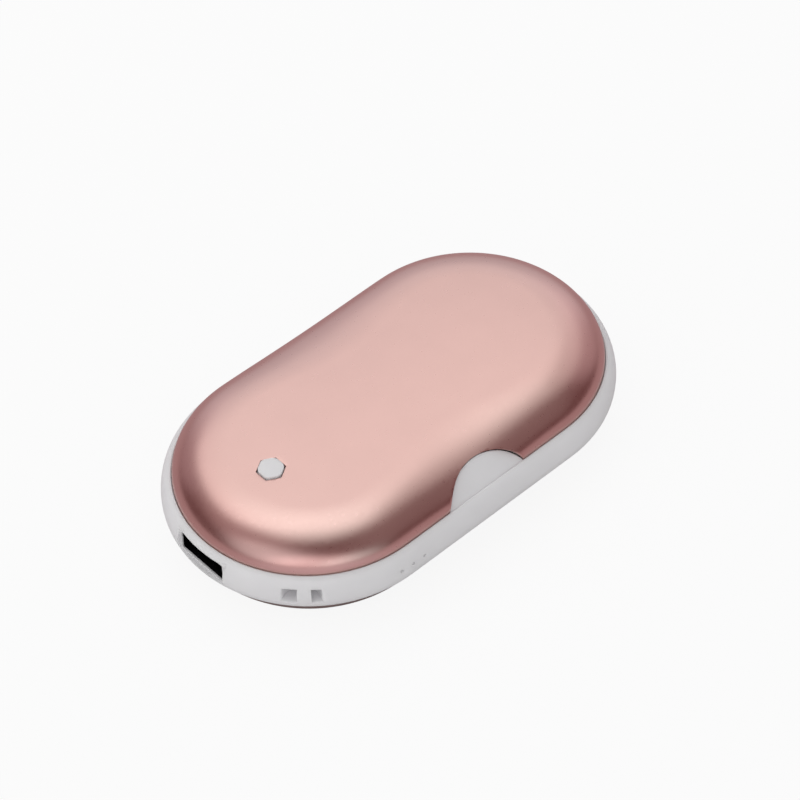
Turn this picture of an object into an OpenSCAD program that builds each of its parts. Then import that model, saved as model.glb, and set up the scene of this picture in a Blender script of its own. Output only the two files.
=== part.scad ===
// Pebble-shaped rechargeable hand warmer with a USB socket, built as an assembly of its real pieces.
// X runs along the length with the USB socket at -X, Z is up, and the origin is on the surface it rests on.

/* [Outline] */
// Distance between the centres of the two round ends
centre_gap = 44.6; // [40:0.2:50]
// Radius of the round ends at the rims of the metal shells
rim_r = 28; // [27:0.5:29]
// Height of the plastic band from rim to rim
band_h = 8.1; // [8:0.1:9]
// How far the band swells out beyond the rims
band_swell = 2; // [1.6:0.1:2.4]
// How much wider the band is at its bottom rim than at its top rim
band_flare = 0.8; // [0:0.1:1]

/* [Metal shells] */
// Rise of each shell from its rim to the edge of its plateau
dome_rise = 7.3; // [7.3:0.1:8.5]
// Extra rise of each plateau towards its middle
crown = 0.3; // [0.2:0.1:0.6]
// Width of the rounded flank at the two lobes
lobe_run = 12.1; // [10:0.1:13]
// Width of the rounded flank at the waist, where it is drawn in
waist_run = 16.1; // [13:0.1:17]
// Thickness of the aluminium sheet
sheet_t = 0.8; // [0.6:0.1:1]

/* [Thumb tongue] */
// Radius of the round notch in the top shell
notch_r = 11.3; // [10:0.1:12]
// How far below the rim the centre of the notch lies, along the slope
notch_drop = 4.75; // [4:0.05:5.5]
// Slope of the tongue's flat face from the horizontal
tongue_tilt = 49; // [44:1:54]

/* [Button] */
// Distance of the button from the middle of the object
button_x = 32.5; // [31.5:0.1:33]
// Radius of the button cap across its corners
button_r = 2.85; // [2.5:0.05:3]
// Travel of the button when it is pressed
button_travel = 0.3; // [0.2:0.05:0.3]

/* [USB socket] */
// Width of the window in the band
usb_w = 13.6; // [13.4:0.1:14]
// Height of the window in the band
usb_h = 5.4; // [5.2:0.1:5.6]

/* [Lanyard eyelet] */
// Angle of the eyelet round the end from the length axis
eyelet_angle = 45.5; // [43:0.5:50]
// Half width of the bar that the lanyard loops round
eyelet_bar = 1.45; // [1.2:0.05:1.8]
// Width of the channel on each side of the bar
eyelet_gap = 2.5; // [2:0.1:2.6]

/* [Cells] */
// Diameter of each round cell
cell_d = 18.4; // [18:0.1:18.5]
// Length of each round cell
cell_l = 65.2; // [64:0.1:65.2]

/* [Hidden] */
$fn = 64;
eps = 0.01;

half_gap = centre_gap / 2;
half_h = band_h / 2;

// Ring resolution of the lofted shells
arc_n = 22;
side_n = 12;
dome_n = 9;
plateau_steps = [0.82, 0.6, 0.35, 0.12];
skirt = 0.8;
shell_gap = 0.15;
crown_flat = crown * (1 - pow(plateau_steps[len(plateau_steps) - 1], 2));
// Height of the band's middle above the surface that the object rests on
mid_z = dome_rise + crown_flat + half_h;

// Band section
band_wall_r = rim_r - 1.4;
band_steps = 7;
shoulder = half_h - skirt;
top_land = 0.15;
snap_z = 1.5;
snap_depth = 0.3;
snap_half = 0.5;

// Clip rings glued inside the shells
clip_gap = 0.1;
clip_r = band_wall_r - clip_gap;
clip_wall = 1.1;
clip_top = half_h + 1.3;
clip_lip_r = rim_r - sheet_t - 0.4;

// Plates inside each plateau
inner_plateau = half_h + dome_rise - sheet_t;
film_t = 0.25;
film_face = inner_plateau - 0.02;
film_r = rim_r - lobe_run - 1.4;
liner_t = 0.8;
liner_top = inner_plateau - film_t - 0.1;
liner_r = film_r - 0.6;
liner_hole_r = 3.7;
guide_wall = 0.9;
guide_depth = 4;
lead_slot = [3, 6];

// Cells and their strips
cell_r = cell_d / 2;
cell_y = cell_r + 0.15;
cell_nub = 0.8;
cell_end = 39;
cell_start = cell_end - cell_l;
strip_t = 0.2;
strip_size = [26, 7];

// Tray
tray_r = rim_r - 3;
tray_top = -5.2;
tray_t = 1.1;
cell_play = 0.15;
wall_t = 1.2;
wall_top = 5;
front_wall_x = cell_start - strip_t - 0.3 - wall_t;
rear_wall_x = cell_end + strip_t + 0.4;
front_wall_y = [6.6, 17.5];
rear_wall_y = [3, 15];
saddle_x = [-19, 8, 30];
saddle_y = [13.2, 19.2];
saddle_h = 6.5;
lug_x = [-10, 18];
lug_y = 22.4;
lug_r = 2.1;
lug_top = -1.2;
screw_r = 1;
pilot_r = 0.8;

// Board
board_top = -2.85;
board_t = 1.2;
board_r = rim_r - 3.1;
board_edge = -28.6;
board_post_r = 1.8;
board_posts = [[-40, 14.6], [-31, 17.5], [-34.5, -18.5], [-30.6, -8.5]];
board_screw_posts = [[-40, 14.6], [-34.5, -18.5]];

// Components on the board: centre and size of each
inductor_c = [-34.7, 11];
inductor_base = [6.2, 6, 0.9];
inductor_neck_r = 2.2;
inductor_neck_h = 1.9;
inductor_top_r = 2.9;
charge_c = [-36.2, -12];
charge_size = [5, 4, 1.5];
charge_pitch = 1.27;
charge_leg = [0.45, 6, 0.5];
control_c = [-31.4, -13.2];
control_size = [2.6, 4.4, 1.1];
control_pitch = 1.1;
control_leg = [4, 0.4, 0.4];
large_capacitor = [3.2, 1.6, 1.2];
small_capacitor = [1.2, 2, 0.8];
lamp_y = -24.2;
lamp_size = [1.6, 0.8, 0.6];

// USB receptacle
usb_mouth = -(half_gap + rim_r + 0.6);
usb_depth = 14;
usb_out = [13.1, 5.6];
usb_wall = 0.3;
usb_tongue_size = [9.6, 11, 1.9];
usb_tongue_set = 1.9;

// Micro USB receptacle, on the far side by the board
micro_x = -29;
micro_mouth = 28.7;
micro_size = [7.5, 5.3, 2.5];
micro_wall = 0.25;
micro_z = board_top + micro_size[2] / 2;

// Lanyard eyelet
eyelet_h = 3.3;
eyelet_out = rim_r + band_swell + band_flare / 2;
eyelet_pos = [-half_gap - eyelet_out * cos(eyelet_angle), -eyelet_out * sin(eyelet_angle)];
eyelet_boss_r = eyelet_bar + eyelet_gap + 1.5;

// Indicator holes in the near side of the band
led_x = [-25.3, -22.3, -19.3];
led_z = 0.25;
led_hole_r = 0.4;
led_pin_r = 0.3;
guide_y = [-26.2, -23.2];

// Button and its switch
hole_gap = 0.25;
plateau_r = rim_r - lobe_run;
button_c = (button_x - half_gap) / plateau_r;
button_face = half_h + dome_rise + crown * (1 - pow(button_c, 2));
button_proud = 0.5;
cap_dome_r = 9;
flange_r = 3.3;
flange_t = 0.8;
flange_top = inner_plateau - 0.2;
stem_r = 1.5;
switch_w = 6;
switch_base_h = 3.1;
switch_cover_t = 0.3;
cavity_r = 2.4;
cavity_floor = board_top + 1.95;
plunger_r = 1.7;
plunger_foot_r = 2.2;
plunger_foot = [cavity_floor + button_travel + 0.15, cavity_floor + button_travel + 0.65];
plunger_top = board_top + 4.35;

// Leads: points chosen by hand along each route
lead_r = 0.7;
fine_lead_r = 0.45;
lead_sides = 8;
red_route = [
    [-27, 3.4, 3], [-27.6, 3.6, 2.9], [-28.3, 4, 2.3], [-28.9, 4.6, 1.2],
    [-29.4, 5.3, -0.2], [-29.9, 5.7, -1.4], [-30, 5.8, -2.7]
];
black_route = [
    [40, 0, 3.2], [40.6, 0, 4], [40.6, 0, 5.2], [39.8, 0, 6], [38, 0, 6.2], [34, 0, 6.1],
    [28, 0, 6], [22, 0, 6], [16, 0, 6], [10, 0, 6], [4, 0, 6], [-2, 0, 6], [-8, 0, 6],
    [-14, 0, 6], [-20, 0, 6], [-24, -0.3, 5.9], [-26.6, -1.4, 5.2], [-28, -2.8, 3.8],
    [-28.8, -4, 2], [-29.2, -4.9, 0], [-29.4, -5.3, -1.6], [-29.4, -5.4, -2.7]
];
heater_route = [
    [-30.5, 9.6, board_top + 0.1], [-30.5, 9.6, -0.4], [-30, 9.8, 2], [-29.4, 10, 4.4],
    [-29.2, 10, 6.6], [-29.4, 10, 8.4], [-29.6, 10, 9.6], [-29.6, 10, inner_plateau - film_t - 0.05]
];
low_heater_route = [
    [-32.5, 12, board_top - board_t - 0.1], [-32.5, 12, -5.4], [-32.3, 12, -6.8],
    [-31.8, 12, -8.2], [-31.2, 12, -9.2], [-31, 12, -inner_plateau + film_t + 0.05]
];
heater_lead_pitch = 2;

// One closed ring of a shell: round ends of radius r, sides drawn in by nip at the waist, at height z
function side_y(x, r, nip) = r - nip * pow(cos(90 * x / half_gap), 2);
function shell_ring(r, nip, z) = concat(
    [for (i = [0:arc_n]) let (a = -90 + 180 * i / arc_n) [half_gap + r * cos(a), r * sin(a), z]],
    [for (i = [1:side_n - 1]) let (x = half_gap * (1 - 2 * i / side_n)) [x, side_y(x, r, nip), z]],
    [for (i = [0:arc_n]) let (a = 90 + 180 * i / arc_n) [-half_gap + r * cos(a), r * sin(a), z]],
    [for (i = [1:side_n - 1]) let (x = -half_gap * (1 - 2 * i / side_n)) [x, -side_y(x, r, nip), z]]
);

// Rings of one face of a shell, from the middle of its plateau down its flank to the edge of its skirt
function shell_face(inset) = concat(
    [for (i = [len(plateau_steps) - 1:-1:0]) let (c = plateau_steps[i])
        shell_ring((rim_r - inset - lobe_run) * c, (waist_run - lobe_run) * c,
            dome_rise - inset + crown * (1 - c * c))],
    [for (i = [dome_n:-1:0]) let (a = 90 * i / dome_n, g = 1 - cos(a))
        shell_ring(rim_r - inset - lobe_run * g, (waist_run - lobe_run) * g, (dome_rise - inset) * sin(a))],
    [shell_ring(rim_r - inset, 0, -skirt)]
);
function reversed(list) = [for (i = [len(list) - 1:-1:0]) list[i]];

// A closed solid through a list of rings that all have n points
module loft(rings) {
    n = len(rings[0]);
    last = len(rings) - 1;
    polyhedron(
        points = [for (r = rings) each r],
        faces = concat(
            [[for (i = [n - 1:-1:0]) i]],
            [for (k = [0:last - 1], i = [0:n - 1]) let (a = k * n, b = a + n, j = (i + 1) % n)
                [a + i, a + j, b + j]],
            [for (k = [0:last - 1], i = [0:n - 1]) let (a = k * n, b = a + n, j = (i + 1) % n)
                [a + i, b + j, b + i]],
            [[for (i = [0:n - 1]) last * n + i]]
        ),
        convexity = 6
    );
}

// The aluminium shell with its rim at height zero, open below
module shell() {
    loft(concat(shell_face(sheet_t), reversed(shell_face(0))));
}

module at_mid() {
    translate([0, 0, mid_z]) children();
}

// Outline with round ends, as a flat shape
module stadium(r) {
    union() {
        for (s = [-1, 1]) translate([s * half_gap, 0]) circle(r = r);
        translate([-half_gap, -r]) square([centre_gap, 2 * r]);
    }
}

// A section swept round the outline; the section's X is the distance from the centre line
module sweep_section(points) {
    for (s = [-1, 1]) {
        translate([s * half_gap, 0, 0]) rotate([0, 0, -90 * s]) rotate_extrude(angle = 180)
            polygon(points);
        rotate([0, 0, 90 + 90 * s]) translate([half_gap, 0, 0]) rotate([90, 0, -90])
            linear_extrude(centre_gap) polygon(points);
    }
}

// Frame of the tongue's flat face: X along the rim, Y up the slope, Z out of the face
module on_tongue_face() {
    translate([0, -rim_r, half_h]) rotate([tongue_tilt, 0, 0]) children();
}

module hexagon_prism(r, low, high) {
    translate([-button_x, 0, low]) rotate([0, 0, 30]) cylinder(r = r, h = high - low, $fn = 6);
}

// A lead swept along a route of hand-chosen points
function route_dir(p, i) = let (
    a = p[max(i - 1, 0)], b = p[min(i + 1, len(p) - 1)], d = b - a) d / norm(d);
function lead_ring(p, i, r) = let (
    d = route_dir(p, i), ref = abs(d[1]) < 0.8 ? [0, 1, 0] : [1, 0, 0],
    u = cross(d, ref) / norm(cross(d, ref)), v = cross(d, u)
) [for (k = [0:lead_sides - 1]) let (a = 360 * k / lead_sides) p[i] + r * (cos(a) * u - sin(a) * v)];
module lead(route, r) {
    loft([for (i = [0:len(route) - 1]) lead_ring(route, i, r)]);
}

// Metal shells

module top_shell() {
    color("rosybrown") at_mid() difference() {
        translate([0, 0, half_h]) shell();
        hexagon_prism(button_r + hole_gap, inner_plateau - 2, button_face + 2);
        on_tongue_face() translate([0, -notch_drop, -4]) cylinder(r = notch_r, h = 8);
    }
}

module bottom_shell() {
    color("rosybrown") at_mid() translate([0, 0, -half_h]) rotate([180, 0, 0]) shell();
}

// Band

// Outer radius of the band at a fraction of its half height
function band_r(u) = rim_r + band_swell * sqrt(max(0, 1 - u * u)) + band_flare * (1 - u) / 2;
function band_section() = concat(
    [for (i = [0:2 * band_steps - 1]) let (u = sin(90 * (i / band_steps - 1))) [band_r(u), half_h * u]],
    [[rim_r + shell_gap + top_land, half_h], [rim_r + shell_gap, half_h],
     [rim_r + shell_gap, shoulder], [band_wall_r, shoulder], [band_wall_r, snap_z + snap_half],
     [band_wall_r + snap_depth, snap_z], [band_wall_r, snap_z - snap_half],
     [band_wall_r, -snap_z + snap_half], [band_wall_r + snap_depth, -snap_z],
     [band_wall_r, -snap_z - snap_half], [band_wall_r, -shoulder],
     [rim_r + shell_gap, -shoulder], [rim_r + shell_gap, -half_h]]
);

// Tongue that fills the notch in the top shell, with its flat face a little below the metal
module tongue() {
    intersection() {
        on_tongue_face() translate([0, -notch_drop, -2.3]) cylinder(r = notch_r - 0.2, h = 2.2);
        translate([-notch_r, -rim_r - 1.5, half_h - 1.7]) cube([2 * notch_r, 10, 8]);
    }
}

// Lug inside the band that takes a tray screw
module lug(x, side) {
    translate([x, side * lug_y, tray_top]) cylinder(r = lug_r, h = lug_top - tray_top);
    translate([x - 1, side > 0 ? lug_y : -band_wall_r - 0.4, -half_h])
        cube([2, band_wall_r + 0.4 - lug_y, half_h + lug_top]);
}

module eyelet_channel() {
    translate([eyelet_pos[0], eyelet_pos[1], led_z - eyelet_h / 2]) rotate_extrude()
        translate([eyelet_bar, 0]) square([eyelet_gap, eyelet_h]);
}

// Wall behind the eyelet, kept inside the round of the end
module eyelet_boss() {
    intersection() {
        translate([eyelet_pos[0], eyelet_pos[1], -2.75]) cylinder(r = eyelet_boss_r, h = 5.5);
        translate([-half_gap, 0, -2.75]) cylinder(r = band_wall_r + 0.5, h = 5.5);
    }
}

module usb_window() {
    translate([-half_gap - 40, -usb_w / 2, -usb_h / 2]) cube([40, usb_w, usb_h]);
    translate([usb_mouth, -usb_w / 2, -usb_out[1] / 2 - 0.1]) cube([10, usb_w, usb_out[1] + 0.2]);
}

module micro_window() {
    translate([micro_x - 4, 15, micro_z - 1.5]) cube([8, 25, 3]);
}

module band() {
    color("whitesmoke") at_mid() difference() {
        union() {
            sweep_section(band_section());
            tongue();
            eyelet_boss();
            for (x = lug_x, s = [-1, 1]) lug(x, s);
        }
        usb_window();
        micro_window();
        eyelet_channel();
        for (x = led_x) translate([x, -20, led_z]) rotate([90, 0, 0])
            cylinder(r = led_hole_r, h = 20, $fn = 24);
        for (x = lug_x, s = [-1, 1]) translate([x, s * lug_y, tray_top - 1])
            cylinder(r = pilot_r, h = 4.2);
    }
}

// Clip rings: glued inside the shells, and snapped into the band

function clip_section() = [
    [clip_r - clip_wall, 0.3], [clip_r, 0.3], [clip_r, snap_z - snap_half],
    [clip_r + snap_depth - 0.02, snap_z], [clip_r, snap_z + snap_half], [clip_r, half_h + 0.1],
    [clip_lip_r, half_h + 0.1], [clip_lip_r, clip_top], [clip_r - clip_wall, clip_top]
];

// Room for the sockets, the eyelet wall, the lamps and the ribs of the screw lugs
module clip_reliefs() {
    translate([-60, -usb_w / 2 - 0.8, -1]) cube([20, usb_w + 1.6, half_h]);
    translate([micro_x - 4.6, 18, -1]) cube([9.2, 12, half_h]);
    translate([eyelet_pos[0], eyelet_pos[1], -1]) cylinder(r = eyelet_boss_r + 0.4, h = half_h);
    translate([led_x[0] - 2, -30, -1]) cube([led_x[2] - led_x[0] + 4, 10, half_h]);
    for (x = lug_x, s = [-1, 1]) translate([x - 1.3, s * (lug_y + 2.5) - 3, -1])
        cube([2.6, 6, half_h + 1.2]);
}

module clip_ring() {
    difference() {
        sweep_section(clip_section());
        clip_reliefs();
    }
}

module top_clip_ring() {
    color("gainsboro") at_mid() difference() {
        clip_ring();
        on_tongue_face() translate([0, -notch_drop, -8]) cylinder(r = notch_r + 0.4, h = 12);
    }
}

module bottom_clip_ring() {
    color("gainsboro") at_mid() mirror([0, 0, 1]) clip_ring();
}

// Heater films and the liners behind them

module plateau_plate(r, low, high) {
    translate([0, 0, low]) linear_extrude(high - low) difference() {
        stadium(r);
        for (s = [-1, 1]) translate([0, s * (r + 37)]) circle(r = 41, $fn = 96);
    }
}

module top_heater() {
    color("darkorange") at_mid() difference() {
        plateau_plate(film_r, film_face - film_t, film_face);
        translate([-button_x, 0, 0]) cylinder(r = liner_hole_r + 0.3, h = 30);
    }
}

module bottom_heater() {
    color("darkorange") at_mid() plateau_plate(film_r, -film_face, -film_face + film_t);
}

module top_liner() {
    color("silver") at_mid() difference() {
        union() {
            plateau_plate(liner_r, liner_top - liner_t, liner_top);
            translate([-button_x, 0, liner_top - guide_depth])
                cylinder(r = liner_hole_r + guide_wall, h = guide_depth);
        }
        translate([-button_x, 0, 0]) cylinder(r = liner_hole_r, h = 30);
        translate([-31, 8.6, 0]) cube([lead_slot[0], lead_slot[1] - 1, 30]);
        translate([12, 4, 0]) cylinder(r = 1.4, h = 30);
    }
}

module bottom_liner() {
    color("silver") at_mid() difference() {
        plateau_plate(liner_r, -liner_top, -liner_top + liner_t);
        translate([-33, 10.6, -30]) cube([lead_slot[0] + 1, lead_slot[1] - 1, 30]);
    }
}

module thermistor() {
    color("black") at_mid() translate([12, 4, inner_plateau - film_t - 0.55])
        rotate([0, 90, 0]) translate([0, 0, -0.9]) cylinder(r = 0.5, h = 1.8, $fn = 24);
}

// Tray that carries the cells and the board

module cell_bore(side) {
    translate([cell_start - strip_t - 0.3, side * cell_y, 0]) rotate([0, 90, 0])
        cylinder(r = cell_r + cell_play, h = cell_l + 2 * strip_t + 0.7);
}

// Upright wall across the tray on one side, between two distances from the middle line
module tray_wall(x, side, span, h) {
    translate([x, side > 0 ? span[0] : -span[1], tray_top - eps]) cube([wall_t, span[1] - span[0], h]);
}

module tray_solid() {
    translate([0, 0, tray_top - tray_t]) linear_extrude(tray_t) stadium(tray_r);
    for (s = [-1, 1]) {
        tray_wall(front_wall_x, s, front_wall_y, wall_top - tray_top);
        tray_wall(rear_wall_x, s, rear_wall_y, wall_top - tray_top);
        for (x = saddle_x) tray_wall(x, s, saddle_y, saddle_h);
    }
    for (p = board_posts) translate([p[0], p[1], tray_top - eps])
        cylinder(r = board_post_r, h = board_top - board_t - tray_top + eps);
}

module inner_tray() {
    color("dimgray") at_mid() difference() {
        tray_solid();
        for (s = [-1, 1]) cell_bore(s);
        for (x = lug_x, s = [-1, 1]) translate([x, s * lug_y, tray_top - 5])
            cylinder(r = screw_r + 0.15, h = 10);
        for (p = board_screw_posts) translate([p[0], p[1], tray_top - 5]) cylinder(r = pilot_r, h = 10);
        translate([-34, 10, tray_top - 5]) cube([4.4, 6, 8]);
        translate([-50, -8, tray_top - 5]) cube([13, 16, 6]);
        translate([eyelet_pos[0], eyelet_pos[1], tray_top - 5]) cylinder(r = eyelet_boss_r + 0.4, h = 6);
    }
}

// Cells: a round can with a crimped groove and a raised positive cap, facing the board

module cell(side) {
    at_mid() translate([cell_start, side * cell_y, 0]) rotate([0, 90, 0]) rotate_extrude() polygon([
        [0, 0], [3, 0], [3, cell_nub], [cell_r - 1.2, cell_nub], [cell_r - 0.3, cell_nub + 0.3],
        [cell_r, cell_nub + 1.1], [cell_r, cell_nub + 3], [cell_r - 0.7, cell_nub + 3.5],
        [cell_r - 0.7, cell_nub + 3.9], [cell_r, cell_nub + 4.4], [cell_r, cell_l - 0.5],
        [cell_r - 0.5, cell_l], [0, cell_l]
    ]);
}

module left_cell() {
    color("steelblue") cell(1);
}

module right_cell() {
    color("steelblue") cell(-1);
}

// Nickel strip that joins the two cells, slit where it is spot-welded
module strip(x) {
    at_mid() translate([x, 0, 0]) difference() {
        translate([0, -strip_size[0] / 2, -strip_size[1] / 2])
            cube([strip_t, strip_size[0], strip_size[1]]);
        for (s = [-1, 1]) translate([-1, s * cell_y - 0.4, -2]) cube([2, 0.8, 6]);
    }
}

module front_strip() {
    color("lightgray") strip(cell_start - strip_t);
}

module rear_strip() {
    color("lightgray") strip(cell_end);
}

// Board and what is soldered to it

module board_outline() {
    difference() {
        intersection() {
            stadium(board_r);
            union() {
                translate([-60, -30]) square([60 + board_edge, 60]);
                translate([board_edge - eps, -30]) square([board_edge * -1 + led_x[2] + 2, 10.4]);
                translate([board_edge - eps, 19.6]) square([4.2, 10.4]);
            }
        }
        translate(eyelet_pos) circle(r = eyelet_boss_r + 0.4);
    }
}

module main_board() {
    color("darkgreen") at_mid() difference() {
        translate([0, 0, board_top - board_t]) linear_extrude(board_t) board_outline();
        for (p = board_screw_posts) translate([p[0], p[1], -10]) cylinder(r = screw_r + 0.15, h = 10);
    }
}

module usb_shell() {
    color("dimgray") at_mid() translate([usb_mouth, 0, 0]) difference() {
        translate([0, -usb_out[0] / 2, -usb_out[1] / 2]) cube([usb_depth, usb_out[0], usb_out[1]]);
        translate([-1, -usb_out[0] / 2 + usb_wall, -usb_out[1] / 2 + usb_wall])
            cube([usb_depth, usb_out[0] - 2 * usb_wall, usb_out[1] - 2 * usb_wall]);
        for (s = [-1, 1]) translate([4.5, s * 3.2 - 0.9, -5]) cube([4, 1.8, 10]);
    }
}

module usb_tongue() {
    color("black") at_mid() translate([usb_mouth + usb_tongue_set, -usb_tongue_size[1] / 2, 0.1]) {
        cube(usb_tongue_size);
        translate([usb_tongue_size[0] - eps, -0.4, -2.5]) cube([1.2, usb_tongue_size[1] + 0.8, 4.8]);
    }
}

module usb_contacts() {
    color("gold") at_mid() for (y = [-3.5, -1, 1, 3.5])
        translate([usb_mouth + usb_tongue_set + 0.8, y - 0.5, -0.1]) cube([7.6, 1, 0.2]);
}

module micro_usb_shell() {
    color("silver") at_mid() translate([micro_x, micro_mouth, micro_z]) rotate([90, 0, 0]) difference() {
        translate([-micro_size[0] / 2, -micro_size[2] / 2, 0])
            cube([micro_size[0], micro_size[2], micro_size[1]]);
        translate([-micro_size[0] / 2 + micro_wall, -micro_size[2] / 2 + micro_wall, -1])
            cube([micro_size[0] - 2 * micro_wall, micro_size[2] - 2 * micro_wall, micro_size[1]]);
        for (s = [-1, 1]) translate([s * 4.2, -2.1, -1]) rotate([0, 0, s * 45])
            cube([2, 2, 12], center = true);
    }
}

module micro_usb_tongue() {
    color("black") at_mid() translate([micro_x - 1.9, micro_mouth - micro_size[1] + 1, micro_z - 0.1]) {
        cube([3.8, 3.4, 0.6]);
    }
}

module switch_base() {
    color("black") at_mid() difference() {
        translate([-button_x - switch_w / 2, -switch_w / 2, board_top])
            cube([switch_w, switch_w, switch_base_h]);
        translate([-button_x, 0, cavity_floor]) cylinder(r = cavity_r, h = 5);
    }
}

module switch_cover() {
    color("silver") at_mid() difference() {
        translate([-button_x - switch_w / 2, -switch_w / 2, board_top + switch_base_h])
            cube([switch_w, switch_w, switch_cover_t]);
        translate([-button_x, 0, 0]) cylinder(r = plunger_r + 0.2, h = 5, center = true);
    }
}

// Snap dome: a thin spring-steel disc that buckles under the plunger
module switch_dome() {
    color("gainsboro") at_mid() translate([-button_x, 0, cavity_floor]) rotate_extrude() polygon([
        [0, button_travel + 0.03], [1, button_travel - 0.04], [1.9, 0],
        [2.1, 0], [1.1, button_travel + 0.06], [0, button_travel + 0.13]
    ]);
}

module switch_plunger() {
    color("black") at_mid() translate([-button_x, 0, 0]) {
        translate([0, 0, plunger_foot[0]])
            cylinder(r = plunger_foot_r, h = plunger_foot[1] - plunger_foot[0]);
        translate([0, 0, plunger_foot[0]]) cylinder(r = plunger_r, h = plunger_top - plunger_foot[0]);
    }
}

module button_cap() {
    color("white") at_mid() union() {
        intersection() {
            hexagon_prism(button_r, flange_top - flange_t, button_face + button_proud + 1);
            translate([-button_x, 0, button_face + button_proud - cap_dome_r]) sphere(r = cap_dome_r);
        }
        translate([-button_x, 0, flange_top - flange_t]) cylinder(r = flange_r, h = flange_t);
        translate([-button_x, 0, plunger_top]) cylinder(r = stem_r, h = flange_top - plunger_top - 0.4);
    }
}

// A flat-bottomed component on the board
module on_board(x, y, size) {
    at_mid() translate([x - size[0] / 2, y - size[1] / 2, board_top]) cube(size);
}

module power_inductor() {
    color("gray") union() {
        on_board(inductor_c[0], inductor_c[1], inductor_base);
        at_mid() translate([inductor_c[0], inductor_c[1], board_top + inductor_base[2] - eps]) {
            cylinder(r = inductor_neck_r, h = inductor_neck_h);
            translate([0, 0, inductor_neck_h - eps]) cylinder(r = inductor_top_r, h = inductor_base[2]);
        }
    }
}

module charge_chip() {
    color("black") union() {
        on_board(charge_c[0], charge_c[1], charge_size);
        for (i = [-1.5:1:1.5]) on_board(charge_c[0] + i * charge_pitch, charge_c[1], charge_leg);
    }
}

module control_chip() {
    color("black") union() {
        on_board(control_c[0], control_c[1], control_size);
        for (i = [-1.5:1:1.5]) on_board(control_c[0], control_c[1] + i * control_pitch, control_leg);
    }
}

module board_capacitors() {
    color("tan") {
        for (y = [-8.2, 8.2]) on_board(-41.9, y, large_capacitor);
        for (x = [-35.7, -33.9]) on_board(x, 6.4, small_capacitor);
        for (x = [-38.5, -36.4]) on_board(x, -7.8, small_capacitor);
    }
}

module led_chips() {
    color("lightyellow") for (x = led_x) on_board(x, lamp_y, lamp_size);
}

// Clear bar that carries the light of each lamp to its hole
module light_guide() {
    color("white", 0.6) at_mid() {
        translate([led_x[0] - 1.2, guide_y[0], board_top + 0.7])
            cube([led_x[2] - led_x[0] + 2.4, guide_y[1] - guide_y[0], led_z + 0.6 - board_top - 0.7]);
        for (x = led_x) translate([x, guide_y[0] + 0.2, led_z]) rotate([90, 0, 0])
            cylinder(r = led_pin_r, h = 3.6, $fn = 24);
    }
}

// Leads

module red_lead() {
    color("red") at_mid() lead(red_route, lead_r);
}

module black_lead() {
    color("black") at_mid() lead(black_route, lead_r);
}

module top_heater_leads() {
    color("ivory") at_mid() for (i = [0, 1])
        translate([0, i * heater_lead_pitch, 0]) lead(heater_route, fine_lead_r);
}

module bottom_heater_leads() {
    color("ivory") at_mid() for (i = [0, 1])
        translate([0, i * heater_lead_pitch, 0]) lead(low_heater_route, fine_lead_r);
}

// Screws

module pan_screw(length) {
    rotate_extrude() polygon([
        [0, -1.1], [1.5, -1.1], [1.9, -0.7], [1.9, 0], [pilot_r, 0], [pilot_r, length - 0.8], [0, length]
    ]);
}

module tray_screws() {
    color("silver") at_mid() for (x = lug_x, s = [-1, 1])
        translate([x, s * lug_y, tray_top - tray_t]) pan_screw(3.6);
}

module board_screws() {
    color("silver") at_mid() for (p = board_screw_posts)
        translate([p[0], p[1], board_top]) mirror([0, 0, 1]) pan_screw(3);
}

top_shell();
bottom_shell();
band();
top_clip_ring();
bottom_clip_ring();
top_heater();
bottom_heater();
top_liner();
bottom_liner();
thermistor();
inner_tray();
left_cell();
right_cell();
front_strip();
rear_strip();
main_board();
usb_shell();
usb_tongue();
usb_contacts();
micro_usb_shell();
micro_usb_tongue();
button_cap();
switch_plunger();
switch_base();
switch_cover();
switch_dome();
power_inductor();
charge_chip();
control_chip();
board_capacitors();
led_chips();
light_guide();
red_lead();
black_lead();
top_heater_leads();
bottom_heater_leads();
tray_screws();
board_screws();
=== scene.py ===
import math

import bmesh
import bpy
from mathutils import Matrix, Vector


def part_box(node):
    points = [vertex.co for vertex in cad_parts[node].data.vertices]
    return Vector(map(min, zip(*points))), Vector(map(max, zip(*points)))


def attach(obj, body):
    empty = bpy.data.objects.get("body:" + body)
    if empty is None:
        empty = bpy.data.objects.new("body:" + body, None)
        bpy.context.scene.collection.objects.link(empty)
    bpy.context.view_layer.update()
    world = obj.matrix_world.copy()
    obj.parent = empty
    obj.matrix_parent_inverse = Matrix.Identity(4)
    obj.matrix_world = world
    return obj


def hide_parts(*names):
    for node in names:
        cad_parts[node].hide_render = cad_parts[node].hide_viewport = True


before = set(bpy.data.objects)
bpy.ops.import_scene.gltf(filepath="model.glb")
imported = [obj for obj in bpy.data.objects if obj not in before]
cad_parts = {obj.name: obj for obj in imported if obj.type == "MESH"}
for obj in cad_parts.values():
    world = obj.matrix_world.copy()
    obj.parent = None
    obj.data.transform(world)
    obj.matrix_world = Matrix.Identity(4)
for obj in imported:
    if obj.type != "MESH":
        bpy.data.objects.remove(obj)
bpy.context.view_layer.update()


# The metal shells. Two lids of 0.8 mm aluminium, deep drawn, blasted and anodised rose gold. Their rims are
# plain round-ended outlines, but the plateau is drawn in at the waist. The skin is lofted from rings and
# thickened inwards, and the upper one is cut for the button and the thumb tongue.
MIDDLE = 0.011646  # height of the band's middle line above the table
END = 0.0223  # from the middle to the centre of each round end
RIM = 0.028  # end radius of the rims
RIM_Z = 0.00405  # from the middle line to the upper rim
RISE = 0.0073  # from the rim to the plateau's edge
LOBE_RUN = 0.0121  # width of the flank round the ends
WAIST_RUN = 0.0161  # and at the waist
CROWN = 0.0003  # rise from the plateau's edge to its middle
CROWN_FLAT = 0.13  # share of the plateau that is level, on which the lower shell rests
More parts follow.
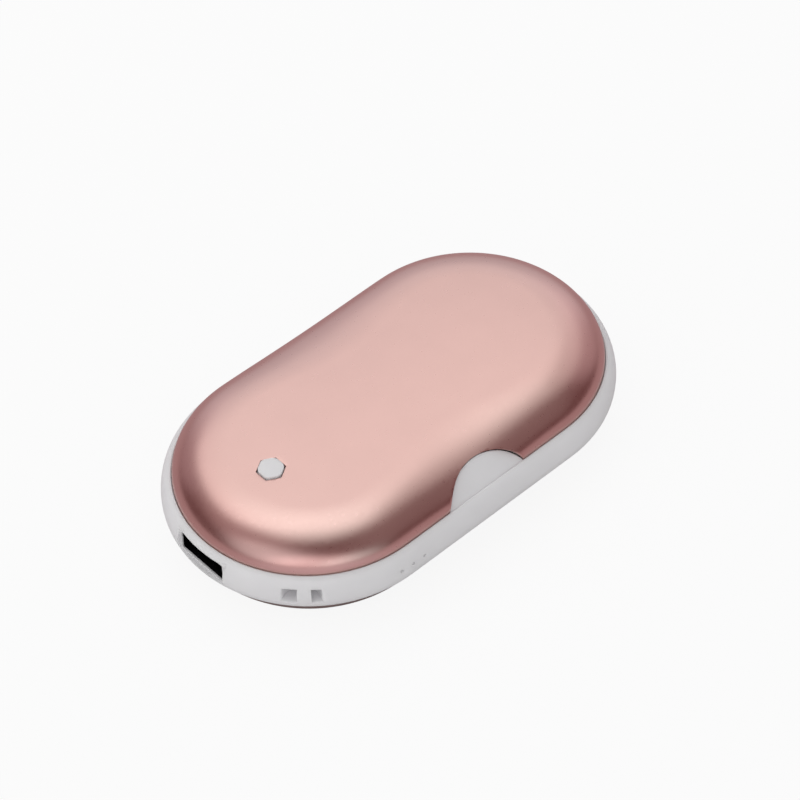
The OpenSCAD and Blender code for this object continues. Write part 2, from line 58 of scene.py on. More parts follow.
SKIRT = 0.0008  # straight part below the rim
SHEET = 0.0008
FLANK = [math.radians(a) for a in (0, 4, 9, 15, 22, 30, 38, 46, 54, 62, 70, 78, 85, 90)]
PLATEAU = (0.92, 0.8, 0.62, 0.4, 0.2, 0.0)  # shares of the plateau at which its rings lie
RING_STEPS = 96
SIDE_CUTS = 15
TINY = 1e-6
MERGE = 2e-6
SMOOTH_BELOW = math.radians(35)
SHARP_ABOVE = math.radians(40)


def deselect():
    if bpy.context.object and bpy.context.object.mode != "OBJECT":
        bpy.ops.object.mode_set(mode="OBJECT")
    bpy.ops.object.select_all(action="DESELECT")


def activate(piece):
    deselect()
    bpy.context.view_layer.objects.active = piece
    piece.select_set(True)


def put_at_origin(piece):
    """Applies the piece's place, turn and size to its mesh."""
    activate(piece)
    bpy.ops.object.transform_apply(location=True, rotation=True, scale=True)


def start_piece(name):
    """An empty mesh in edit mode, to which rings are added."""
    deselect()
    bpy.ops.mesh.primitive_plane_add(size=0.001)
    piece = bpy.context.object
    piece.name = piece.data.name = name
    bpy.ops.object.mode_set(mode="EDIT")
    bpy.ops.mesh.delete(type="VERT")
    return piece


def choose(kind, test):
    """Selects what passes the test in the piece being edited."""
    bpy.ops.mesh.select_all(action="DESELECT")
    data = bpy.context.object.data
    mesh = bmesh.from_edit_mesh(data)
    mesh.verts.index_update()
    for item in getattr(mesh, kind):
        if test(item):
            item.select_set(True)
    bmesh.update_edit_mesh(data)


def sweep(rings):
    """Draws the round-ended outline once, then pulls it out from ring to ring. Each ring is its end radius,
    its height and how far its sides are drawn in at the waist."""
    radius, height, nip = rings[0]
    bpy.ops.mesh.primitive_circle_add(vertices=RING_STEPS, radius=radius, location=(0, 0, height))
    choose("edges", lambda e: max(v.co.x for v in e.verts) < TINY)
    bpy.ops.mesh.split()
    bpy.ops.transform.translate(value=(-END, 0, 0))
    choose("verts", lambda v: v.co.x > -TINY)
    bpy.ops.transform.translate(value=(END, 0, 0))
    for side in (1, -1):
        choose("verts", lambda v: abs(abs(v.co.x) - END) < TINY and side * v.co.y > radius - TINY)
        bpy.ops.mesh.edge_face_add()
        bpy.ops.mesh.subdivide(number_cuts=SIDE_CUTS)
    bpy.ops.mesh.select_all(action="SELECT")
    for new_radius, new_height, new_nip in rings[1:]:
        bpy.ops.mesh.extrude_region_move(TRANSFORM_OT_translate={"value": (0, 0, new_height - height)})
        mesh = bmesh.from_edit_mesh(bpy.context.object.data)
        ring = [v for v in mesh.verts if v.select]
        for side in (1, -1):
            for v in ring:
                v.select = side * v.co.x > END - TINY
            grow = new_radius / radius
            bpy.ops.transform.resize(value=(grow, grow, 1), center_override=(side * END, 0, 0))
        for step in range(SIDE_CUTS // 2 + 1):
            x = END * 2 * step / (SIDE_CUTS + 1)
            drawn = math.cos(math.pi / 2 * x / END) ** 2
            for v in ring:
                v.select = abs(abs(v.co.x) - x) < TINY
            grow = (new_radius - new_nip * drawn) / (radius - nip * drawn)
            bpy.ops.transform.resize(value=(1, grow, 1), center_override=(0, 0, 0))
        for v in ring:
            v.select = True
        mesh.select_flush(True)
        bmesh.update_edit_mesh(bpy.context.object.data)
        radius, height, nip = new_radius, new_height, new_nip


def close_mesh():
    """Merges what lies double in the mesh being edited, turns its faces outwards and leaves edit mode."""
    bpy.ops.mesh.select_all(action="SELECT")
    bpy.ops.mesh.remove_doubles(threshold=MERGE)
    bpy.ops.mesh.select_all(action="SELECT")
    bpy.ops.mesh.normals_make_consistent(inside=False)
    bpy.ops.object.mode_set(mode="OBJECT")


def modify(piece, kind, **settings):
    activate(piece)
    modifier = piece.modifiers.new(kind.title(), kind)
    for key, value in settings.items():
        setattr(modifier, key, value)
    bpy.ops.object.modifier_apply(modifier=modifier.name)


def cut(piece, tool, operation="DIFFERENCE"):
    """Cuts the piece with a tool, or joins the tool to it, and throws the tool away."""
    modify(piece, "BOOLEAN", object=tool, operation=operation, solver="EXACT")
    bpy.data.objects.remove(tool)


def soften(piece, width, segments=2, above=SHARP_ABOVE):
    """Rounds the sharp edges off."""
    modify(piece, "BEVEL", width=width, segments=segments, limit_method="ANGLE", angle_limit=above)


def smooth(piece):
    activate(piece)
    bpy.ops.object.shade_smooth_by_angle(angle=SMOOTH_BELOW)
    modify(piece, "WEIGHTED_NORMAL", keep_sharp=True)


def prism(name, sides, radius, low, high, x=0.0, y=0.0):
    """An upright prism or cylinder, with its place applied."""
    deselect()
    bpy.ops.mesh.primitive_cylinder_add(
        vertices=sides, radius=radius, depth=high - low, location=(x, y, (low + high) / 2)
    )
    tool = bpy.context.object
    tool.name = name
    put_at_origin(tool)
    return tool


def shell_skin(name, fullness):
    """A lid lofted from rim to crown; fullness above 1 rounds its flank out a little more."""
    skin = start_piece(name)
    nip = WAIST_RUN - LOBE_RUN
    rings = [(RIM, MIDDLE + RIM_Z - SKIRT, 0)]
    for a in FLANK:
        inset = (1 - math.cos(a)) ** fullness
        rings.append((RIM - LOBE_RUN * inset, MIDDLE + RIM_Z + RISE * math.sin(a), nip * inset))
    for share in PLATEAU:
        lift = CROWN * (1 - max(share, CROWN_FLAT) ** 2)
        rings.append(((RIM - LOBE_RUN) * share, MIDDLE + RIM_Z + RISE + lift, nip * share))
    sweep(rings)
    close_mesh()
    modify(skin, "SUBSURF", levels=1, render_levels=1)
    modify(skin, "SOLIDIFY", thickness=SHEET, offset=-1)
    return skin


BUTTON_X = -0.0325
HOLE_R = 0.0031  # to the corners of the button's hole
HOLE_LOW, HOLE_HIGH = MIDDLE + 0.008, MIDDLE + 0.014
NOTCH_R = 0.0113
NOTCH_DROP = 0.00475  # from the rim to the notch's centre, along the tongue's slope
NOTCH_REACH = 0.004  # of the cutter, to either side of that slope
TONGUE_TILT = math.radians(49)
SHEET_EDGE = 0.00012  # rounding of the edges that are cut in the sheet


def disc_on_slope(name, radius, low, high):
    """A disc square to the tongue's sloping face, with low and high measured out of that face."""
    disc = prism(name, 160, radius, low, high)
    slope = Matrix.Rotation(TONGUE_TILT, 4, "X") @ Matrix.Translation((0, -NOTCH_DROP, 0))
    disc.matrix_world = Matrix.Translation((0, -RIM, MIDDLE + RIM_Z)) @ slope
    put_at_origin(disc)
    return disc


upper = shell_skin("upper_shell", 1.0)
lower = shell_skin("lower_shell", 1.28)
cut(upper, prism("hole", 6, HOLE_R, HOLE_LOW, HOLE_HIGH, BUTTON_X))
cut(upper, disc_on_slope("notch", NOTCH_R, -NOTCH_REACH, NOTCH_REACH))
soften(upper, SHEET_EDGE)
smooth(upper)

# The lower shell is the same lid turned over.
lower.rotation_euler = (math.pi, 0, 0)
lower.location = (0, 0, 2 * MIDDLE)
put_at_origin(lower)
smooth(lower)

CLOUDS = 12  # clouds of colour are this many times coarser than the grain


def wire(tree, kind, settings, inputs):
    """Adds a node, sets it up and fills its inputs with fixed values or from other nodes' outputs."""
    node = tree.nodes.new(kind)
    for key, value in settings.items():
        setattr(node, key, value)
    for socket, value in inputs.items():
        if isinstance(value, bpy.types.NodeSocket):
            tree.links.new(value, node.inputs[socket])
        else:
            node.inputs[socket].default_value = value
    return node


def blended(tree, share, first, second):
    """The colour between two others."""
    inputs = {"Factor": share, "A": first, "B": second}
    return wire(tree, "ShaderNodeMix", {"data_type": "RGBA"}, inputs).outputs["Result"]


def grained(name, colour, metal, rough, grain, depth, vary=0.03, spread=0.06):
    """A surface with fine grain: noise moves its colour, its roughness and its normals a little."""
    material = bpy.data.materials.new(name)
    material.use_nodes = True
    tree = material.node_tree
    shader = tree.nodes["Principled BSDF"]
    shader.inputs["Metallic"].default_value = metal
    where = tree.nodes.new("ShaderNodeTexCoord").outputs["Object"]
    cloud = wire(tree, "ShaderNodeTexNoise", {}, {"Scale": grain / CLOUDS, "Detail": 3, "Vector": where})
    fine = wire(tree, "ShaderNodeTexNoise", {}, {"Scale": grain, "Detail": 2, "Vector": where})
    darker = [max(0, c * (1 - vary)) for c in colour] + [1]
    lighter = [min(1, c * (1 + vary)) for c in colour] + [1]
    tint = blended(tree, cloud.outputs["Fac"], darker, lighter)
    tree.links.new(tint, shader.inputs["Base Color"])
    span = {"Value": fine.outputs["Fac"], "To Min": rough - spread, "To Max": rough + spread}
    ramp = wire(tree, "ShaderNodeMapRange", {}, span)
    tree.links.new(ramp.outputs["Result"], shader.inputs["Roughness"])
    relief = {"Height": fine.outputs["Fac"], "Distance": depth, "Strength": 1}
    bump = wire(tree, "ShaderNodeBump", {}, relief)
    tree.links.new(bump.outputs["Normal"], shader.inputs["Normal"])
    return material


rose_metal = grained("rose_anodised", (0.78, 0.525, 0.48), metal=1.0, rough=0.3, grain=1500, depth=0.0000015)
for skin, node in ((upper, "top_shell"), (lower, "bottom_shell")):
    skin.data.materials.clear()
    skin.data.materials.append(rose_metal)
    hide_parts(node)
    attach(skin, "housing")


# The band. One white moulding between the shells, fuller at its foot than at its head, with a seat for each
# rim, the thumb tongue that fills the upper shell's notch, the windows for the sockets, three lamp holes and
# the lanyard eyelet. Its section is swept round the outline, and the openings are cut into it.
SWELL = 0.002  # how far the band stands out past the rims
FLARE = 0.0008  # how much further its foot stands out than its head
HEAD_R, HEAD_CORNER = 0.0284, 0.0283  # the head's inner edge and its tiny chamfer
CHAMFER = 0.00002
WALL_R = 0.0266
SEAT_R = 0.02815
SEAT_Z = 0.00325  # from the middle line to each rim's seat
BAND_EDGE = 0.00015  # rounding of its edges
SECTION_TURNS = (-90, -84, -77, -69, -60, -50, -40, -30, -20, -10, 0, 10, 20, 30, 40, 50, 60, 69, 76)

band = start_piece("band_moulding")
section = []
for turn in SECTION_TURNS:
    u = math.sin(math.radians(turn))
    section.append((RIM + SWELL * math.sqrt(max(0, 1 - u * u)) + FLARE * (1 - u) / 2, MIDDLE + RIM_Z * u, 0))
section += [
    (HEAD_R, MIDDLE + RIM_Z - CHAMFER, 0),
    (HEAD_CORNER, MIDDLE + RIM_Z, 0),
    (SEAT_R, MIDDLE + RIM_Z, 0),
    (SEAT_R, MIDDLE + SEAT_Z, 0),
    (WALL_R, MIDDLE + SEAT_Z, 0),
    (WALL_R, MIDDLE - SEAT_Z, 0),
    (SEAT_R, MIDDLE - SEAT_Z, 0),
    (SEAT_R, MIDDLE - RIM_Z, 0),
]
sweep([*section, section[0]])
close_mesh()


def block(name, size, centre):
    deselect()
    bpy.ops.mesh.primitive_cube_add(size=1)
    tool = bpy.context.object
    tool.name = name
    tool.scale = size
    tool.location = centre
    put_at_origin(tool)
    return tool


# The tongue is a slice of the notch's disc, trimmed where it would pass through the band.
TONGUE_GAP = 0.0002  # between the tongue and the notch
TONGUE_BACK, TONGUE_FACE = -0.0023, -0.0001  # measured out of the slope
ROOM_SIZE = (0.03, 0.012, 0.009)  # of the space in which the tongue is kept
room_centre = (0, -RIM - 0.0013 + ROOM_SIZE[1] / 2, MIDDLE + RIM_Z - 0.0015 + ROOM_SIZE[2] / 2)
tongue = disc_on_slope("tongue", NOTCH_R - TONGUE_GAP, TONGUE_BACK, TONGUE_FACE)
cut(tongue, block("tongue_room", ROOM_SIZE, room_centre), "INTERSECT")
cut(band, tongue, "UNION")

# The windows, and a thin frame inside the larger one that hides the rim of the receptacle.
USB_W = 0.0136
USB_H = 0.0054
FRAME_DEPTH = 0.0004
FRAME_ROOT = 0.0004  # how far the frame reaches into the band, both sides together
FRAME_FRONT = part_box("usb_shell")[0].x - 0.00022
cut(band, block("usb_window", (0.02, USB_W, USB_H), (-END - 0.03, 0, MIDDLE)))
cut(band, block("micro_window", (0.008, 0.02, 0.003), (-0.029, 0.03, MIDDLE - 0.0016)))
frame_size = (FRAME_DEPTH, USB_W + FRAME_ROOT, USB_H + FRAME_ROOT)
frame_piece = block("window_frame", frame_size, (FRAME_FRONT, 0, MIDDLE))
cut(frame_piece, block("window_opening", (0.003, 0.0124, 0.00482), (-0.0513, 0, MIDDLE)))
cut(band, frame_piece, "UNION")

# The eyelet is a round channel behind a bar. Its two mouths have rounded lips, each cut as the corner that a
# fillet cylinder leaves of a disc.
OUTER_R = RIM + SWELL + FLARE / 2
CHANNEL_R = 0.00395
CHANNEL_LOW, CHANNEL_HIGH = MIDDLE - 0.0014, MIDDLE + 0.0019
CHANNEL_AT = math.radians(180 + 44.6)
BAR_R = 0.00145
BAR_REACH = 0.003  # of the bar, above and below the middle line
BAR_AT = math.radians(180 + 45.5)
LIP_R = 0.0009
LIP_SPARE = 1.02  # keeps the lip's disc just wider than its fillet


def on_left_end(radius, turn):
    return -END + radius * math.cos(turn), radius * math.sin(turn)


channel = prism("channel", 64, CHANNEL_R, CHANNEL_LOW, CHANNEL_HIGH, *on_left_end(OUTER_R, CHANNEL_AT))
mouth = 2 * math.asin(CHANNEL_R / 2 / OUTER_R)
FILLET_AT_R = OUTER_R - LIP_R
fillet = math.acos((OUTER_R**2 + FILLET_AT_R**2 - (CHANNEL_R + LIP_R) ** 2) / (2 * OUTER_R * FILLET_AT_R))
for side in (1, -1):
    lip_place = on_left_end(OUTER_R, CHANNEL_AT + side * mouth)
    lip = prism("lip", 64, LIP_R * LIP_SPARE, CHANNEL_LOW, CHANNEL_HIGH, *lip_place)
    cut(lip, prism("round_off", 64, LIP_R, 0, 0.03, *on_left_end(FILLET_AT_R, CHANNEL_AT + side * fillet)))
    cut(channel, lip, "UNION")
bar = prism("bar", 48, BAR_R, MIDDLE - BAR_REACH, MIDDLE + BAR_REACH, *on_left_end(OUTER_R, BAR_AT))
cut(channel, bar)
cut(band, channel)

LAMP_HOLE_R = 0.0004
for x in (-0.0253, -0.0223, -0.0193):
    lamp_hole = prism("lamp_hole", 24, LAMP_HOLE_R, 0, 0.02)
    lamp_place = Matrix.Translation((x, -0.02, MIDDLE + 0.00025))
    lamp_hole.matrix_world = lamp_place @ Matrix.Rotation(math.pi / 2, 4, "X")
    put_at_origin(lamp_hole)
    cut(band, lamp_hole)
soften(band, BAND_EDGE)
smooth(band)

# Light goes a little way into the white moulding.
white_plastic = grained(
    "white_moulding", (0.86, 0.85, 0.865), metal=0.0, rough=0.45, grain=1800, depth=0.000006
)
shader = white_plastic.node_tree.nodes["Principled BSDF"]
shader.inputs["Subsurface Weight"].default_value = 0.6
shader.inputs["Subsurface Radius"].default_value = (1, 1, 1)
shader.inputs["Subsurface Scale"].default_value = 0.0015
band.data.materials.clear()
band.data.materials.append(white_plastic)
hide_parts("band")
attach(band, "housing")


# The button cap. A white moulding with a crowned hexagonal head, a round flange that keeps it behind the sheet
# and a short stem that pushes the switch. It is trimmed by a sphere and its corners are rounded off.
CAP_LOW, CAP_HIGH = (corner.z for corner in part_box("button_cap"))
CAP_R = 0.00285  # to the corners of the head
CAP_CORNER = 0.0008  # rounding of the head's upright edges
CAP_EDGE = 0.0002  # and of its top edge
CAP_CROWN_R = 0.03
FLANGE_R = 0.0033
FLANGE_T = 0.0008
FLANGE_Z = MIDDLE + RIM_Z + RISE - SHEET - 0.0002  # the flange's top, just under the sheet
HEAD_LOW, STEM_HIGH = FLANGE_Z - 0.0007, FLANGE_Z - 0.0004  # both end inside the flange
STEM_R = 0.0015

cap = prism("button_head", 6, CAP_R, HEAD_LOW, CAP_HIGH + 0.001, BUTTON_X)
activate(cap)
bpy.ops.object.mode_set(mode="EDIT")
choose("edges", lambda e: abs(e.verts[0].co.z - e.verts[1].co.z) > 0.001)
bpy.ops.mesh.bevel(offset=CAP_CORNER, segments=5, affect="EDGES")
deselect()
bpy.ops.mesh.primitive_uv_sphere_add(
    segments=256, ring_count=256, radius=CAP_CROWN_R, location=(BUTTON_X, 0, CAP_HIGH - CAP_CROWN_R)
)
crown_ball = bpy.context.object
put_at_origin(crown_ball)
cut(cap, crown_ball, "INTERSECT")
soften(cap, CAP_EDGE, segments=4, above=math.radians(50))
cut(cap, prism("flange", 64, FLANGE_R, FLANGE_Z - FLANGE_T, FLANGE_Z, BUTTON_X), "UNION")
cut(cap, prism("stem", 48, STEM_R, CAP_LOW, STEM_HIGH, BUTTON_X), "UNION")
smooth(cap)
cap.data.materials.clear()
cap.data.materials.append(white_plastic)
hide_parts("button_cap")
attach(cap, "button")


# The plain mouldings inside: white clip rings glued into the shells, a grey tray screwed to the band, and
# the black bodies of sockets, switch, chips and sensor on the board. All are fine-grained plastic.
def finish_nodes(material, *names):
    """Gives CAD nodes that keep their shape a finished surface."""
    for name in names:
        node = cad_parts[name]
        node.data.materials.clear()
        node.data.materials.append(material)


finish_nodes(white_plastic, "top_clip_ring", "bottom_clip_ring")
grey_plastic = grained("grey_moulding", (0.14, 0.14, 0.15), metal=0.0, rough=0.5, grain=1500, depth=0.00001)
finish_nodes(grey_plastic, "inner_tray")
black_plastic = grained(
    "black_moulding", (0.02, 0.02, 0.022), metal=0.0, rough=0.42, grain=2200, depth=0.000008, vary=0.25
)
finish_nodes(
    black_plastic,
    "usb_tongue",
    "micro_usb_tongue",
    "switch_plunger",
    "switch_base",
    "charge_chip",
    "control_chip",
    "thermistor",
)


# The heater films. Amber polyimide with an etched metal track that runs to and fro under the whole plateau,
# pressed against the shell from inside.
STRIPE_EDGE = 0.03  # how softly one finish gives way to the other


def striped(name, base, stripe, width, waves, wander, metal, rough):
    """Bands of one finish across another, which wander a little; width is the share of the stripe."""
    material = grained(name, base, metal=0.0, rough=rough, grain=1200, depth=0.000004)
    tree = material.node_tree
    shader = tree.nodes["Principled BSDF"]
    where = tree.nodes.new("ShaderNodeTexCoord").outputs["Object"]
    pattern = {"Scale": waves, "Distortion": wander, "Detail": 1, "Vector": where}
    wave = wire(tree, "ShaderNodeTexWave", {}, pattern)
    edge = wire(tree, "ShaderNodeValToRGB", {}, {"Fac": wave.outputs["Fac"]})
    edge.color_ramp.elements[0].position = 1 - width - STRIPE_EDGE
    edge.color_ramp.elements[1].position = 1 - width + STRIPE_EDGE
    ground = shader.inputs["Base Color"].links[0].from_socket
    paint = blended(tree, edge.outputs["Color"], ground, (*stripe, 1))
    tree.links.new(paint, shader.inputs["Base Color"])
    if metal:
        tree.links.new(edge.outputs["Color"], shader.inputs["Metallic"])
    return material


POLYIMIDE, TRACK = (0.62, 0.30, 0.06), (0.45, 0.36, 0.25)
heater_film = striped(
    "heater_film", POLYIMIDE, TRACK, width=0.4, waves=160, wander=1.5, metal=True, rough=0.3
)
finish_nodes(heater_film, "top_heater", "bottom_heater")


# Rolled and plated metal: liners, cell strips, socket shells, switch cover, dome, contacts and screws. Each has
# faint streaks along the way it was rolled.
def rolled(name, colour, rough, along, streaks=900):
    material = grained(
        name, colour, metal=1.0, rough=rough, grain=streaks, depth=0.000004, vary=0.06, spread=0.08
    )
    tree = material.node_tree
    where = tree.nodes["Texture Coordinate"].outputs["Object"]
    stretch = wire(tree, "ShaderNodeMapping", {}, {"Scale": along, "Vector": where})
    for node in tree.nodes:
        if node.type == "TEX_NOISE":
            tree.links.new(stretch.outputs["Vector"], node.inputs["Vector"])
    return material


ALONG_X = (0.06, 1, 1)
ALONG_Y = (1, 0.06, 1)
ROUND_Z = (1, 1, 0.1)
finish_nodes(rolled("liner_aluminium", (0.72, 0.73, 0.74), 0.35, ALONG_X), "top_liner", "bottom_liner")
finish_nodes(rolled("nickel", (0.70, 0.69, 0.66), 0.3, ALONG_Y, 1500), "front_strip", "rear_strip")
finish_nodes(rolled("black_nickel", (0.05, 0.05, 0.055), 0.35, ALONG_X, 1500), "usb_shell")
finish_nodes(rolled("tin", (0.66, 0.67, 0.68), 0.28, ALONG_Y, 1800), "micro_usb_shell", "switch_cover")
finish_nodes(rolled("spring_steel", (0.62, 0.62, 0.60), 0.25, ALONG_X, 3000), "switch_dome")
finish_nodes(rolled("gold", (0.85, 0.64, 0.28), 0.22, ALONG_X, 3000), "usb_contacts")
finish_nodes(rolled("zinc", (0.60, 0.61, 0.63), 0.34, ROUND_Z, 2500), "tray_screws", "board_screws")


# The cells. Steel cans in blue shrink film that leaves the raised cap at the board's end bare. They lie in
# the tray side by side.
WRAP_ENDS_X = -0.0256


def partly_bare(material, axis, test, limits, colour, metal=False):
    """Another finish where a point's place along one axis passes the test."""
    tree = material.node_tree
    shader = tree.nodes["Principled BSDF"]
    where = tree.nodes.new("ShaderNodeTexCoord").outputs["Object"]
    split = wire(tree, "ShaderNodeSeparateXYZ", {}, {"Vector": where})
    inputs = {0: split.outputs[axis], **dict(enumerate(limits, 1))}
    passed = wire(tree, "ShaderNodeMath", {"operation": test}, inputs).outputs[0]
    ground = shader.inputs["Base Color"].links[0].from_socket
    tree.links.new(blended(tree, passed, ground, (*colour, 1)), shader.inputs["Base Color"])
    if metal:
        tree.links.new(passed, shader.inputs["Metallic"])


cell_wrap = grained(
    "cell_wrap", (0.05, 0.20, 0.42), metal=0.0, rough=0.28, grain=900, depth=0.000006, vary=0.08
)
partly_bare(cell_wrap, "X", "LESS_THAN", (WRAP_ENDS_X,), (0.65, 0.65, 0.64), metal=True)
finish_nodes(cell_wrap, "left_cell", "right_cell")


# The board and its parts: green solder mask over faint tracks, a ferrite drum wound with copper, fired
# ceramic capacitors and three lamps, all soldered on.
WINDING_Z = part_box("power_inductor")[0].z + 0.0018
WINDING_HALF = 0.00085
MASK, MASKED_TRACK = (0.03, 0.22, 0.10), (0.07, 0.32, 0.15)
CORE, CORE_STREAK = (0.10, 0.10, 0.10), (0.14, 0.14, 0.14)
solder_mask = striped(
    "solder_mask", MASK, MASKED_TRACK, width=0.3, waves=260, wander=6, metal=False, rough=0.3
)
ferrite = striped("ferrite", CORE, CORE_STREAK, width=0.4, waves=420, wander=2, metal=False, rough=0.6)
partly_bare(ferrite, "Z", "COMPARE", (WINDING_Z, WINDING_HALF), (0.55, 0.25, 0.12))
ceramic = grained("ceramic", (0.55, 0.42, 0.28), metal=0.0, rough=0.45, grain=1600, depth=0.000006, vary=0.1)
lamp_resin = grained(
    "lamp_resin", (0.85, 0.78, 0.45), metal=0.0, rough=0.3, grain=1600, depth=0.000004, vary=0.06
)
finish_nodes(solder_mask, "main_board")
finish_nodes(ferrite, "power_inductor")
finish_nodes(ceramic, "board_capacitors")
finish_nodes(lamp_resin, "led_chips")


# The light guide. One clear moulded bar that stands on the board behind the lamps, and whose three pins end
# just inside the lamp holes.
clear_plastic = grained(
    "clear_guide", (0.80, 0.83, 0.86), metal=0.0, rough=0.22, grain=900, depth=0.000004, vary=0.02, spread=0.05
)
clear_plastic.node_tree.nodes["Principled BSDF"].inputs["Transmission Weight"].default_value = 0.6
finish_nodes(clear_plastic, "light_guide")


# The leads. Stranded wire in silicone, soldered to the board: red and black from the cells and thin white ones
# from the heaters.
red_silicone = grained(
    "red_silicone", (0.55, 0.02, 0.015), metal=0.0, rough=0.4, grain=900, depth=0.000005, vary=0.08
)
black_silicone = grained(
    "black_silicone", (0.02, 0.02, 0.02), metal=0.0, rough=0.4, grain=900, depth=0.000005, vary=0.2
)
white_silicone = grained(
    "white_silicone", (0.80, 0.79, 0.76), metal=0.0, rough=0.45, grain=900, depth=0.000005
)
finish_nodes(red_silicone, "red_lead")
finish_nodes(black_silicone, "black_lead")
finish_nodes(white_silicone, "top_heater_leads", "bottom_heater_leads")


# Camera at the photograph's angle, with its fitted turn, height and slight roll. It looks at a point a little
# off the object's middle.
TURN = math.radians(-42.261)
HEIGHT = math.radians(47.907)
ROLL = math.radians(-0.978)
LENS, SENSOR = 137.966, 36
DISTANCE = 0.6299
OFF_RIGHT, OFF_UP = 0.001637, 0.00474
back = Vector((math.sin(TURN) * math.cos(HEIGHT), -math.cos(TURN) * math.cos(HEIGHT), math.sin(HEIGHT)))
level = Vector((math.cos(TURN), math.sin(TURN), 0))
upward = back.cross(level)
right = level * math.cos(ROLL) + upward * math.sin(ROLL)
up = upward * math.cos(ROLL) - level * math.sin(ROLL)
camera = bpy.data.objects.new("camera", bpy.data.cameras.new("camera"))
bpy.context.collection.objects.link(camera)
camera.data.lens = LENS
camera.data.sensor_width = SENSOR
camera.data.clip_start = 0.05
place = right * OFF_RIGHT + up * OFF_UP + back * DISTANCE + Vector((0, 0, MIDDLE))
camera.matrix_world = Matrix.Translation(place) @ Matrix((right, up, back)).transposed().to_4x4()
bpy.context.scene.camera = camera


# Table of white paper. The camera and clear pieces see it white. The metal sees painted light on it: a dimmer,
# warmer glow that is painted shade of the floor near the object with the pink light the metal throws on it,
# painted dark under the object as its shadow, and a glowing patch painted in front as the reflection of a pale
# card. The rest of it is lit, so it keeps the shadow.
PAPER = (0.85, 0.85, 0.85, 1)
SEEN_WHITE = (1, 1, 1, 1)
SEEN_SHARES = (("Is Camera Ray", 0.9), ("Is Glossy Ray", 0.75), ("Is Transmission Ray", 0.9))
FLOOR_GLOW_PAINTED_SHADE = (0.357, 0.183, 0.203, 1)
FLOOR_PAINTED_SHADOW = (0.01, 0.01, 0.012, 1)
PAINTED_SHADOW_FADE = 0.022  # width of the ring round the object's rim in which the glow fades
PAINTED_CARD_GLOW = (0.285, 0.32, 0.354)
CARD_EDGE, CARD_CORE = 0.12, 0.03
AWAY = Vector((-math.sin(TURN), math.cos(TURN), 0))
CARD_AT = AWAY * -0.13 - level * 0.01

deselect()
bpy.ops.mesh.primitive_plane_add(size=1.6)
table = bpy.context.object
table.name = "table"
paper = bpy.data.materials.new("white_paper")
paper.use_nodes = True
tree = paper.node_tree
shader = tree.nodes["Principled BSDF"]
shader.inputs["Base Color"].default_value = PAPER
shader.inputs["Roughness"].default_value = 0.9
ray = tree.nodes.new("ShaderNodeLightPath")
spot = tree.nodes.new("ShaderNodeTexCoord").outputs["Object"]


def vector_step(operation, inputs):
    return wire(tree, "ShaderNodeVectorMath", {"operation": operation}, inputs).outputs


def number_step(operation, first, second):
    return wire(tree, "ShaderNodeMath", {"operation": operation}, {0: first, 1: second}).outputs[0]


def eased(value, start, end, kind="SMOOTHERSTEP"):
    """From 0 at the start to 1 at the end, with a soft beginning and end."""
    span = {"Value": value, "From Min": start, "From Max": end}
    return wire(tree, "ShaderNodeMapRange", {"interpolation_type": kind}, span).outputs["Result"]


# The distance from the object's centre line is 0 along it and grows to all sides.
mirrored = vector_step("ABSOLUTE", {0: spot})[0]
past_end = vector_step("SUBTRACT", {0: mirrored, 1: (END, 0, 0)})[0]
outside = vector_step("MAXIMUM", {0: past_end, 1: (0, 0, 0)})[0]
reach = vector_step("LENGTH", {0: outside})["Value"]
# Painted shadow: under the object the glow that the metal sees is painted dark, and outside the ring it comes
# up to the dimmer, warmer painted shade of the floor.
floor_with_painted_shadow = blended(tree, eased(reach, RIM, RIM + PAINTED_SHADOW_FADE, "SMOOTHSTEP"), FLOOR_PAINTED_SHADOW, FLOOR_GLOW_PAINTED_SHADE)
# Painted reflection: a glowing patch on the floor in front, seen only by the metal, stands for a pale card.
card_distance = vector_step("DISTANCE", {0: spot, 1: CARD_AT})["Value"]
painted_card_patch = vector_step("SCALE", {0: PAINTED_CARD_GLOW, "Scale": eased(card_distance, CARD_EDGE, CARD_CORE)})[0]
painted_floor_reflection = vector_step("ADD", {0: floor_with_painted_shadow, 1: painted_card_patch})[0]
hue = blended(tree, ray.outputs["Is Glossy Ray"], SEEN_WHITE, painted_floor_reflection)
glow = wire(tree, "ShaderNodeEmission", {}, {"Color": hue, "Strength": 1})
seen = None
for kind, amount in SEEN_SHARES:
    share = number_step("MULTIPLY", ray.outputs[kind], amount)
    seen = number_step("MAXIMUM", seen, share) if seen else share
lit_or_seen = {"Fac": seen, 1: shader.outputs[0], 2: glow.outputs[0]}
mix = wire(tree, "ShaderNodeMixShader", {}, lit_or_seen)
tree.links.new(mix.outputs[0], tree.nodes["Material Output"].inputs["Surface"])
table.data.materials.append(paper)

# The room: a warm dark hall with a soft screen behind the object and a low white board in front of it, which
# the metal mirrors, and soft daylight that the white pieces take. Each patch is given as right, away and up
# from the camera's side, with the angles of its core and edge and its colour.
ROOM = (
    (0.0, 0.53, 1.0, 25, 50, (0.39, 0.42, 0.41)),
    (0.0, 0.10, 1.0, 8, 32, (0.385, 0.50, 0.49)),
    (0.0, 1.0, 0.17, 5, 45, (0.44, 0.50, 0.535)),
    (0.65, 0.65, 0.4, 5, 35, (0.335, 0.285, 0.305)),
    (-0.65, 0.65, 0.35, 5, 32, (0.245, 0.21, 0.23)),
    (-0.55, -0.1, 0.83, 8, 38, (0.225, 0.185, 0.19)),
    (-0.48, -0.75, 0.42, 8, 38, (0.575, 0.61, 0.625)),
    (0.0, -1.0, 0.18, 8, 38, (0.665, 0.575, 0.595)),
    (0.45, -0.9, 0.1, 5, 30, (0.44, 0.59, 0.59)),
    (0.7, -0.35, 0.65, 5, 32, (0.12, 0.12, 0.12)),
    (0.0, 0.0, -1.0, 179, 180, (0.13, 0.05, 0.052)),
)
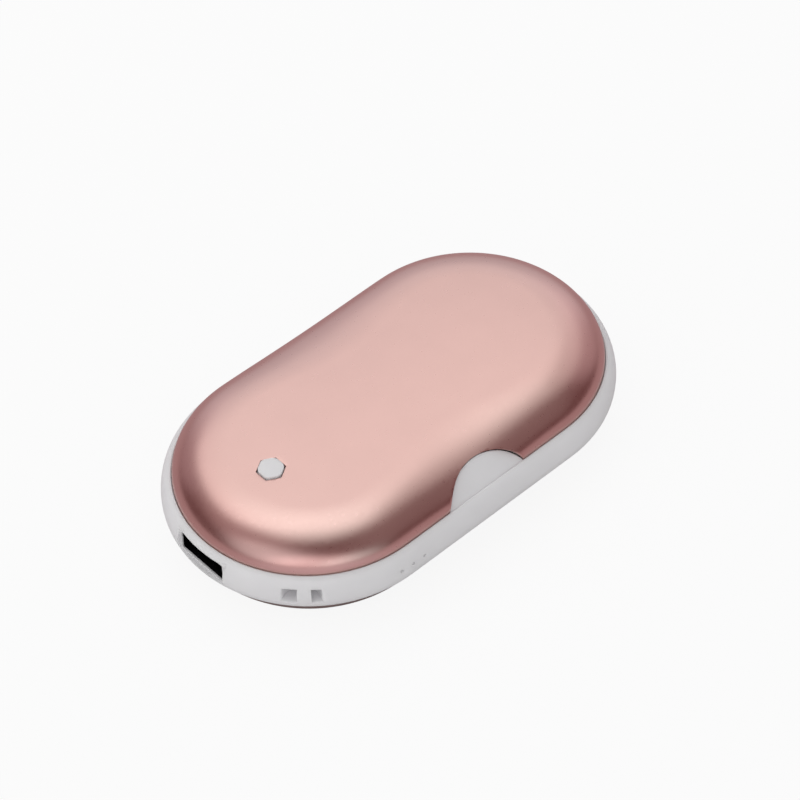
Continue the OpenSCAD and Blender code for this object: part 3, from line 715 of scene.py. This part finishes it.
DAYLIGHT = (
    (0.0, 0.0, 1.0, 0, 60, (0.47, 0.47, 0.47)),
    (-1.0, 0.0, 0.35, 0, 60, (0.61, 0.61, 0.61)),
    (-0.7, -0.7, 0.35, 0, 60, (0.46, 0.46, 0.46)),
    (0.0, -1.0, 0.35, 0, 60, (0.48, 0.48, 0.48)),
    (0.7, -0.7, 0.35, 0, 60, (0.28, 0.28, 0.28)),
    (1.0, 0.0, 0.35, 0, 60, (0.38, 0.38, 0.38)),
    (0.0, 1.0, 0.35, 0, 60, (0.66, 0.66, 0.66)),
)
BACKDROP = (0.96, 0.96, 0.96, 1)
world = bpy.data.worlds.new("studio")
bpy.context.scene.world = world
world.use_nodes = True
tree = world.node_tree
ray = tree.nodes.new("ShaderNodeLightPath")
direction = tree.nodes.new("ShaderNodeTexCoord").outputs["Generated"]


def sum_of(patches):
    """The light of all the patches together."""
    total = None
    for side, away, height, core, edge, colour in patches:
        centre = (level * side + AWAY * away + Vector((0, 0, height))).normalized()
        facing = vector_step("DOT_PRODUCT", {0: direction, 1: centre})["Value"]
        strength = eased(facing, math.cos(math.radians(edge)), math.cos(math.radians(core)))
        patch = vector_step("SCALE", {0: colour, "Scale": strength})[0]
        total = vector_step("ADD", {0: total, 1: patch})[0] if total else patch
    return total


sky = blended(tree, ray.outputs["Is Glossy Ray"], sum_of(DAYLIGHT), sum_of(ROOM))
seen = number_step("MAXIMUM", ray.outputs["Is Camera Ray"], ray.outputs["Is Transmission Ray"])
tree.links.new(blended(tree, seen, sky, BACKDROP), tree.nodes["Background"].inputs["Color"])
tree.nodes["Background"].inputs["Strength"].default_value = 1.0

# The softbox, overhead and a little behind the object. Its power grows with its area.
SOFTBOX = (0.75, 0.62)
SOFTBOX_GLOW = 0.35
SOFTBOX_SIDE, SOFTBOX_AWAY, SOFTBOX_HEIGHT = -0.13, 0.24, 0.6
lamp = bpy.data.lights.new("softbox", "AREA")
lamp.shape = "RECTANGLE"
lamp.size, lamp.size_y = SOFTBOX
lamp.energy = 4 * SOFTBOX[0] * SOFTBOX[1] * SOFTBOX_GLOW
softbox = bpy.data.objects.new("softbox", lamp)
bpy.context.collection.objects.link(softbox)
softbox.visible_camera = False
lamp_at = AWAY * SOFTBOX_AWAY + level * SOFTBOX_SIDE + Vector((0, 0, SOFTBOX_HEIGHT))
facing_down = lamp_at.normalized()
lamp_axes = Matrix((level, facing_down.cross(level), facing_down)).transposed()
softbox.matrix_world = Matrix.Translation(lamp_at) @ lamp_axes.to_4x4()

bpy.context.scene.view_settings.view_transform = "Standard"
